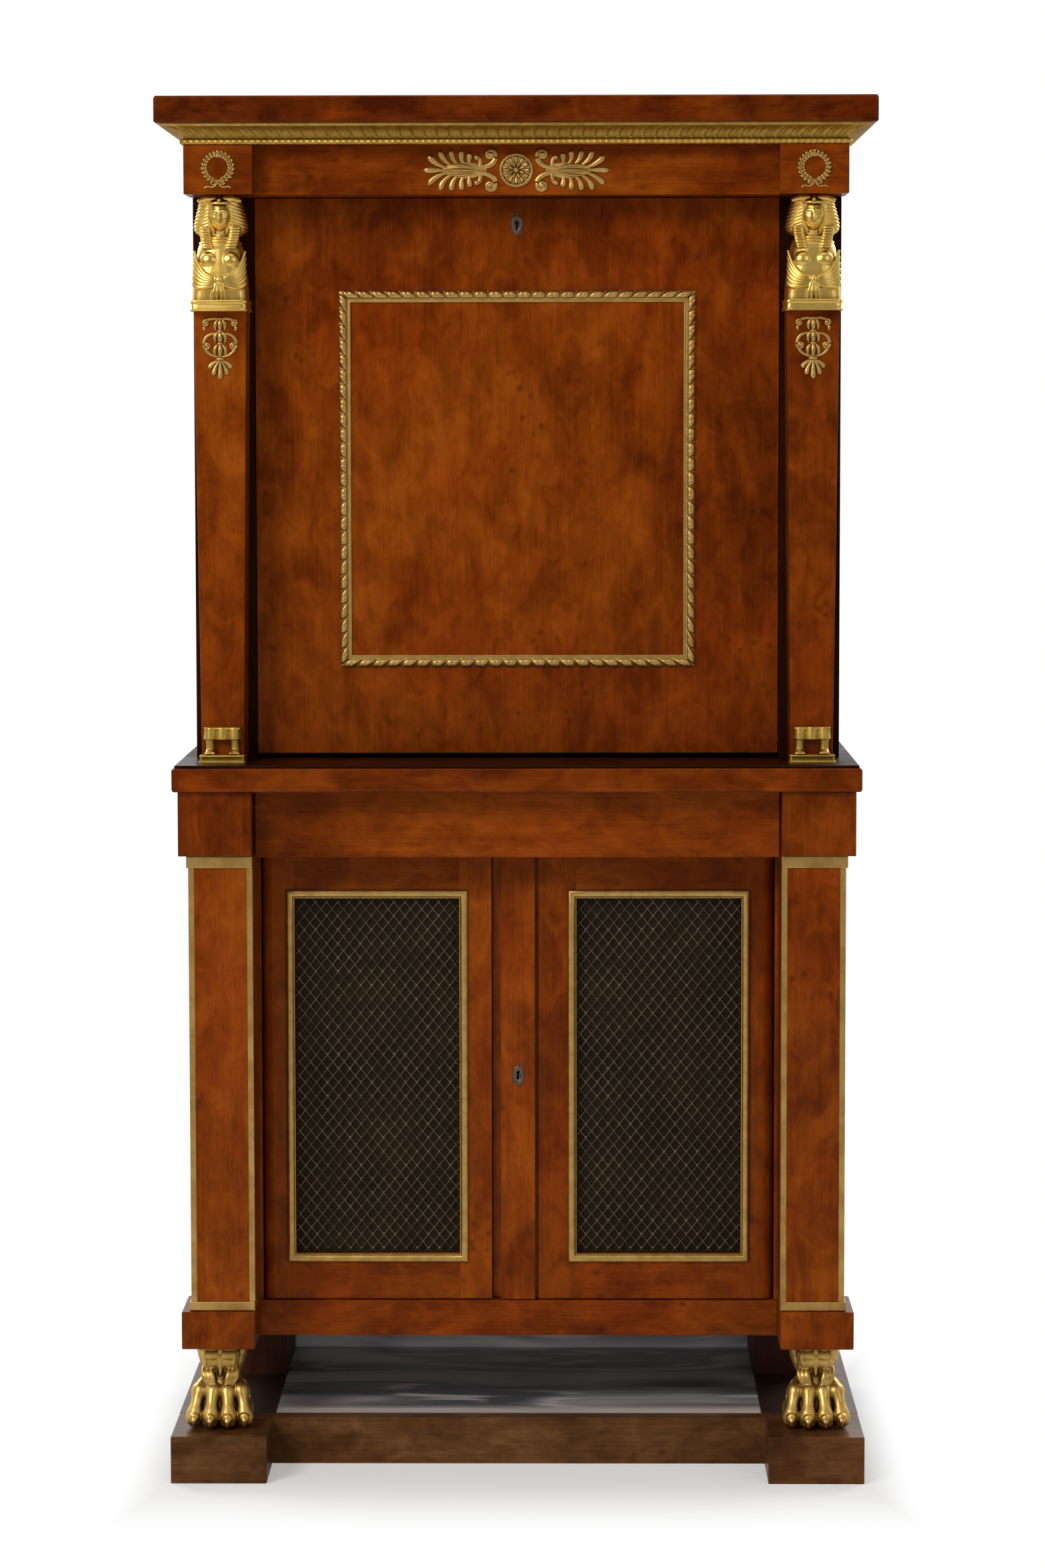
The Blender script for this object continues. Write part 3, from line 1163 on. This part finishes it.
FALL_STRIP = [(0, 0), (0, 1.4), (0.8, 2.7), (1.9, 3.6), (3.2, 4.2), (4.6, 4.4), (6.0, 4.2), (7.2, 3.5),
              (8.0, 2.4), (8.4, 1.6), (9.4, 1.3), (10.6, 1.3), (11.2, 1.8), (12.0, 1.8), (12.6, 1.2),
              (12.6, 0)]
FALL_PITCH = 16.0
DOOR_STRIP = [(0, 0), (0, 1.8), (0.6, 2.9), (1.7, 3.7), (3.2, 4.0), (4.8, 3.9), (6.2, 3.4), (7.2, 2.6),
              (7.9, 1.6), (8.3, 0.8), (9.0, 0.6), (9.0, 0)]
DOOR_PITCH = 40.0
COVE_PITCH = 12.5
COVE_BEAD_R = 3.0
COVE_BEAD_OUT = 3.5
COVE_NECK = 3.4
COVE_NECK_TOP = 6.8
COVE_LIP = 3.0


def leaf_tips(turn, share):
    """Overlapping leaf tips on the outer part of the fall's frame."""
    aside = abs(2 * turn - 1)
    zone = ease(share, 0.02, 0.12) * (1 - ease(share, 0.54, 0.62))
    notch = -2.0 * ease(aside + 0.5 * (1 - share / 0.56), 0.84, 1.25)
    vein = -0.4 * hump(aside, 0.0, 0.10)
    return zone * (notch + vein + 0.6 * (1 - aside * aside))


def cove_leaves(turn, share):
    """Upright leaves in the hollow of the cornice, over a row of beads; the profile runs outwards there."""
    aside = abs(2 * turn - 1)
    if share < 0.32:
        bead = abs(sin(2 * pi * turn))
        return -0.9 * (bead - 0.6) * hump(share, 0.16, 0.10)
    zone = ease(share, 0.36, 0.44) * (1 - ease(share, 0.80, 0.90))
    reach = ease(1.12 - aside - 0.55 * ease(share, 0.5, 0.9), 0.0, 0.32)
    return -zone * (1.5 * reach - 0.5 * hump(aside, 0.0, 0.10))


def no_relief(turn, share):
    return 0.0


def gilt_frame(body, name, strip, pitch, per, relief, sharp):
    """A gilt moulding round the outline of a body's moulding node, standing proud towards the front."""
    node = f"{body}_moulding"
    lo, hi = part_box(node)
    corners = [(x / MM, z / MM) for x, z in ((lo.x, lo.z), (hi.x, lo.z), (hi.x, hi.z), (lo.x, hi.z))]
    shell = Shell().add(moulding(corners, True, strip, pitch, per, relief, lambda a, b, h: (a, -h, b)))
    piece(shell, f"{body}_{name}", (0, hi.y, 0), body, "gilt", PALE_GILT, node, sharp=sharp)


def cove_profile(out, high):
    """A bead, a neck and a hollow that spreads to the lip, outwards and up."""
    section = [(0, 0), (3.2, 0)]
    section += [(COVE_BEAD_OUT + COVE_BEAD_R * sin(a), COVE_BEAD_R - COVE_BEAD_R * cos(a))
                for a in half_turn(8)[1:-1]]
    section += [(COVE_NECK, 2 * COVE_BEAD_R), (COVE_NECK, COVE_NECK_TOP)]
    for i in range(1, 13):
        a = pi / 2 * i / 12
        section.append((COVE_NECK + (out - COVE_NECK) * (1 - cos(a)),
                        COVE_NECK_TOP + (high - COVE_NECK_TOP - COVE_LIP) * sin(a)))
    return section + [(out, high - 2.6), (out, high), (0, high)]


gilt_frame("fall", "leaf_frame", FALL_STRIP, FALL_PITCH, 14, leaf_tips, LEAFY_SHARP)
for door in ("left_door", "right_door"):
    gilt_frame(door, "bead", DOOR_STRIP, DOOR_PITCH, 2, no_relief, CAST_SHARP)

lo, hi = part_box("cove_moulding")
core_lo, core_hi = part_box("cornice_core")
section = cove_profile((core_lo.y - lo.y) / MM, (hi.z - lo.z) / MM)
plan = [(x / MM, y / MM) for x, y in ((core_lo.x, core_hi.y), (core_lo.x, core_lo.y), (core_hi.x, core_lo.y),
                                      (core_hi.x, core_hi.y))]
cove = Shell().add(moulding(plan, False, [(-d, h) for d, h in section], COVE_PITCH, 12, cove_leaves,
                            lambda a, b, h: (a, b, h)))
piece(cove, "cornice_leaf_cove", (0, 0, lo.z), ROOT, "gilt", COVE_GILT, "cove_moulding", sharp=LEAFY_SHARP)


# Door grilles and silk

CELL_W = 12.0
CELL_H = 15.0
WIRE_R = 0.78
WEAVE = 0.5
SILK_THICK = 0.3


def grille(width, height):
    """Two sets of slanting wires, woven over and under, with a small stud at each crossing."""
    shell = Shell()
    steps = ceil(width / CELL_W + height / CELL_H) + 1
    for lean in (1, -1):
        for i in range(-steps, steps + 1):
            line = []
            for j in range(-2 * steps, 2 * steps + 1):
                u = (i + j / 2) / 2 * CELL_W
                v = lean * (i - j / 2) / 2 * CELL_H
                if abs(u) <= width / 2 and abs(v) <= height / 2:
                    over = cos(pi * j / 2) * (1 if i % 2 else -1) * lean
                    line.append((u, WEAVE * over, v))
            if len(line) > 2:
                shell.add(tube(line, WIRE_R, 6))
    for i in range(-steps, steps + 1):
        for j in range(-steps, steps + 1):
            u, v = (i + j) / 2 * CELL_W, (i - j) / 2 * CELL_H
            if abs(u) < width / 2 - 1 and abs(v) < height / 2 - 1:
                shell.add(ball((u, -0.35, v), (1.75, 0.9, 1.75), 10, 6))
    return shell


def silk_sheet(width, height):
    """A taut, lightly rippled sheet of silk."""
    across, down = 60, 80
    front, faces = [], []
    for j in range(down + 1):
        for i in range(across + 1):
            u, v = i / across, j / down
            held = min(u, 1 - u, v, 1 - v) * 12
            ripple = 0.22 * sin(40 * u + 1.2 * sin(5 * v)) + 0.12 * sin(83 * u + 2.0)
            front.append(((u - 0.5) * width, ripple * min(held, 1.0), (v - 0.5) * height))
    back = [(x, y + SILK_THICK, z) for x, y, z in front]
    size = len(front)
    row = across + 1
    for j in range(down):
        for i in range(across):
            a = j * row + i
            faces.append((a, a + 1, a + row + 1, a + row))
            faces.append((size + a, size + a + row, size + a + row + 1, size + a + 1))
    rim = list(range(across)) + [j * row + across for j in range(down)]
    rim += [down * row + i for i in range(across, 0, -1)] + [j * row for j in range(down, 0, -1)]
    for k, a in enumerate(rim):
        b = rim[(k + 1) % len(rim)]
        faces.append((b, a, size + a, size + b))
    return front + back, faces


for door in ("left_door", "right_door"):
    lo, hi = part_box(f"{door}_grille")
    width, height = (hi.x - lo.x) / MM, (hi.z - lo.z) / MM
    middle = (lo + hi) / 2
    piece(grille(width, height), f"{door}_wire", middle, door, "grille_wire", DARK_WIRE, f"{door}_grille")
    silk_lo, silk_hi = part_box(f"{door}_silk")
    at = (middle.x, (silk_lo.y + silk_hi.y) / 2, middle.z)
    cloth = Shell().add(silk_sheet(width, height))
    sheet = piece(cloth, f"{door}_silk_sheet", at, door, "silk", SILK, f"{door}_silk")


# Boarded backs

BOARD_CHAMFER = 2.4
NAIL_FROM_END = 22.0
NAIL_FROM_EDGE = 16.0
STONE_THICK = 4.0
STONE_CHAMFER = 1.2


def boards(width, height, thick, count):
    """Upright backboards with chamfered meeting edges and nail heads: origin at the lower left front."""
    shell = Shell()
    shoulder = thick - BOARD_CHAMFER
    for i in range(count):
        x0 = width * i / count
        x1 = width * (i + 1) / count
        ring = [(x0, 0), (x1, 0), (x1, shoulder), (x1 - BOARD_CHAMFER, thick), (x0 + BOARD_CHAMFER, thick),
                (x0, shoulder)]
        shell.add(skin([[(x, y, z) for x, y in ring] for z in (0, height)]))
        for z in (NAIL_FROM_END, height - NAIL_FROM_END):
            for x in (x0 + NAIL_FROM_EDGE, x1 - NAIL_FROM_EDGE):
                shell.add(ball((x, thick - 0.5, z), (3.0, 1.0, 3.0), 12, 7))
    return shell


def lining(half_w, height):
    """An upright stone slab with a chamfered front: origin at its foot, in the middle of its back."""
    rings = []
    for y, inset in ((0, 0), (STONE_CHAMFER - STONE_THICK, 0), (-STONE_THICK, STONE_CHAMFER)):
        x = half_w - inset
        rings.append([(x, y, inset), (-x, y, inset), (-x, y, height - inset), (x, y, height - inset)])
    return Shell().add(skin(rings))


for node in ("upper_back", "lower_back"):
    lo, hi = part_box(node)
    size = (hi - lo) / MM
    backing = boards(size.x, size.z, size.y, BACKBOARDS)
    piece(backing, f"{node}_boards", lo, ROOT, "case_wood", BACKBOARD, node, sharp=BOARD_SHARP)

# The stone stands behind the platform, between the rear feet and against the lower backboards
lining_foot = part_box("rear_feet")[0].z
stone = lining(between_feet / MM, (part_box("cupboard_floor")[0].z - lining_foot) / MM)
at = (0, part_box("lower_back")[0].y, lining_foot)
piece(stone, "platform_back_stone", at, ROOT, "slab_stone", BACK_STONE, sharp=BOARD_SHARP)


# Studio

WHITE = (1.0, 1.0, 1.0)
WARM_WHITE = (1.0, 0.97, 0.93)
AIM = (0.0, -0.1, 0.72)
LOW_AIM = (0.0, 0.0, 0.15)
# Name, place, aim, width and height, power and colour of the lamps, and whether polish mirrors them
LAMPS = (("key_left", (-2.3, -3.3, 3.1), AIM, (1.3, 1.3), 102.0, WARM_WHITE, True),
         ("fill_right", (2.4, -3.5, 2.6), AIM, (1.8, 1.8), 22.0, WHITE, True),
         ("low_front", (-0.3, -3.2, 0.30), LOW_AIM, (2.6, 0.5), 7.0, WHITE, False),
         ("top_soft", (0.0, -0.6, 3.9), AIM, (2.2, 1.6), 22.0, WHITE, True),
         ("back_left", (-2.6, 2.6, 2.8), AIM, (1.8, 1.8), 70.0, WHITE, True),
         ("back_right", (2.6, 2.8, 2.8), AIM, (1.8, 1.8), 70.0, WHITE, True))
ROOM_LIGHT = 0.20
FLOOR_REACH = 14.0
FLOOR_GREY = (0.86, 0.86, 0.86)


def area_light(name, spot, aim, size, power, colour, mirrored):
    lamp = bpy.data.lights.new(name, "AREA")
    lamp.shape = "RECTANGLE"
    lamp.size, lamp.size_y = size
    lamp.energy = power
    lamp.color = colour
    obj = linked(name, lamp)
    obj.location = spot
    obj.rotation_mode = "QUATERNION"
    obj.rotation_quaternion = (Vector(aim) - Vector(spot)).to_track_quat("-Z", "Y")
    obj.visible_glossy = mirrored


def make_world():
    """Even light, white to the camera, and mirrored by polish more at the back than in front."""
    world = bpy.data.worlds.new("studio")
    bpy.context.scene.world = world
    t = Tree("studio", world)
    path = t.node("ShaderNodeLightPath").outputs

    def background(strength):
        return t.node("ShaderNodeBackground", {"Color": WHITE, "Strength": strength}).outputs[0]

    towards_back = t.span(t.axes(t.places["Generated"])["Y"], -0.55, 0.35, 0.18, 1.0, "LINEAR")
    gloss = t.math("MAXIMUM", path["Is Glossy Ray"], path["Is Transmission Ray"])
    shine = t.shaders(gloss, background(ROOM_LIGHT), background(towards_back))
    seen = t.shaders(path["Is Camera Ray"], shine, background(1.0))
    t.node("ShaderNodeOutputWorld", {"Surface": seen})


def make_floor():
    """A pale floor that fades to plain white away from the object and keeps its shadow."""
    far = FLOOR_REACH
    mesh = bpy.data.meshes.new("studio_floor")
    mesh.from_pydata([(-far, -far, 0), (far, -far, 0), (far, far, 0), (-far, far, 0)], [], [(0, 1, 2, 3)])
    floor = linked("studio_floor", mesh)
    t = Tree("pale_floor")
    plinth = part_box("plinth_frame")[1]
    axes = t.axes()
    beyond_x = t.times(t.minus(t.size(axes["X"]), plinth.x), 4.0)
    beyond_y = t.minus(t.size(axes["Y"]), plinth.y)
    fade = t.span(t.math("MAXIMUM", beyond_x, beyond_y), -0.03, 0.21, 0.30, 1.0)
    share = t.times(t.node("ShaderNodeLightPath").outputs["Is Camera Ray"], fade)
    paint = t.node("ShaderNodeBsdfDiffuse", {"Color": FLOOR_GREY}).outputs[0]
    glow = t.node("ShaderNodeEmission").outputs[0]
    t.node("ShaderNodeOutputMaterial", {"Surface": t.shaders(share, paint, glow)})
    mesh.materials.append(t.owner)


def make_camera():
    forward = Vector((-sin(CAMERA_YAW) * cos(CAMERA_PITCH),
                      cos(CAMERA_YAW) * cos(CAMERA_PITCH), -sin(CAMERA_PITCH)))
    data = bpy.data.cameras.new("camera")
    data.lens = CAMERA_LENS
    camera = linked("camera", data)
    camera.location = CAMERA_PLACE
    camera.rotation_mode = "QUATERNION"
    camera.rotation_quaternion = forward.to_track_quat("-Z", "Y") @ Quaternion((0, 0, 1), CAMERA_ROLL)
    bpy.context.scene.camera = camera


for lamp in LAMPS:
    area_light(*lamp)
make_world()
make_floor()
make_camera()
bpy.context.scene.view_settings.view_transform = "Standard"
